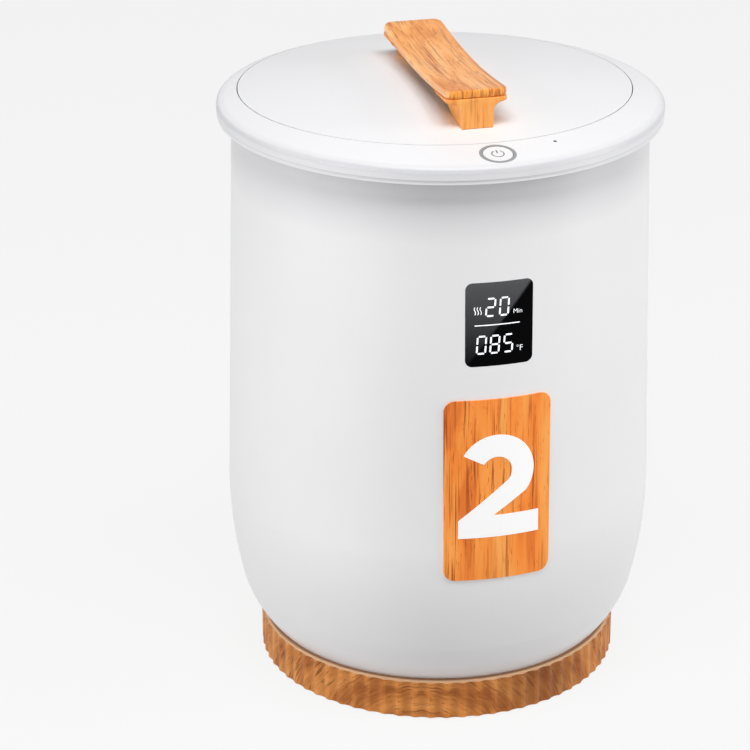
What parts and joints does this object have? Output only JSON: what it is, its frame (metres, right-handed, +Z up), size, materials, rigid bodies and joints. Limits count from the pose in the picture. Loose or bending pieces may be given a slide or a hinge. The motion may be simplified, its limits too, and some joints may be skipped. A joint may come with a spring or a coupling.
{
  "type": "towel warmer bucket",
  "caption": "Heated barrel for warming towels, with a lift-off domed lid, wooden handle, push button, front display window and fluted wood-look base.",
  "frame": {"origin": "centre of the ring of feet, on the surface the bucket stands on", "axes": "+Z up along the barrel axis; the display and the power button face -Y; +X is to the right of a person who faces the display"},
  "size_m": [0.314, 0.314, 0.4608],
  "materials": {
    "shell_white": "satin",
    "wood_base": "satin",
    "wood_handle": "satin",
    "wood_label": "satin",
    "window_black": "gloss",
    "bezel_grey": "satin",
    "liner_aluminium": "satin",
    "screw_steel": "satin",
    "foot_rubber": "matte",
    "gasket_silicone": "matte",
    "insulation_foam": "matte",
    "heater_film": "satin",
    "board_green": "satin",
    "inner_white": "matte",
    "inner_dark": "matte"
  },
  "bodies": {
    "housing": {"outer_shell": "shell_white", "top_ring": "shell_white", "base_ring": "wood_base", "base_plate": "inner_dark", "base_screws": "screw_steel", "feet": "foot_rubber", "inner_bucket": "liner_aluminium", "heating_film": "heater_film", "insulation_sleeve": "insulation_foam", "floor_heater": "heater_film", "thermal_fuse": "screw_steel", "temperature_sensor": "inner_dark", "liner_support": "inner_white", "control_board": "board_green", "board_posts": "inner_white", "board_screws": "screw_steel", "relay": "inner_dark", "capacitors": "inner_dark", "terminal_block": "board_green", "display_window": "window_black", "display_holder": "inner_dark", "digit_module": "inner_white", "display_board": "board_green", "display_screws": "screw_steel", "front_label": "wood_label", "button_bezel": "bezel_grey", "button_board": "board_green", "tact_switch": "inner_dark", "indicator_led": "inner_white", "indicator_lens": "bezel_grey", "button_screws": "screw_steel", "cord_inlet": "inner_dark"},
    "lid": {"lid_top": "shell_white", "lid_liner": "inner_white", "lid_insulation": "insulation_foam", "lid_gasket": "gasket_silicone", "lid_screws": "screw_steel", "handle_base": "wood_handle", "handle_top": "wood_handle", "handle_screws": "screw_steel"},
    "button": {"power_button": "shell_white"}
  },
  "joints": [
    {"name": "lid_lift", "type": "slide", "parent": "housing", "child": "lid", "axis": [0, 0, 1], "range_m": [0, 0.06]},
    {"name": "button_press", "type": "slide", "parent": "housing", "child": "button", "axis": [0, 0.1695, -0.9855], "range_m": [0, 0.001], "stiffness_N_per_m": 1200}
  ]
}
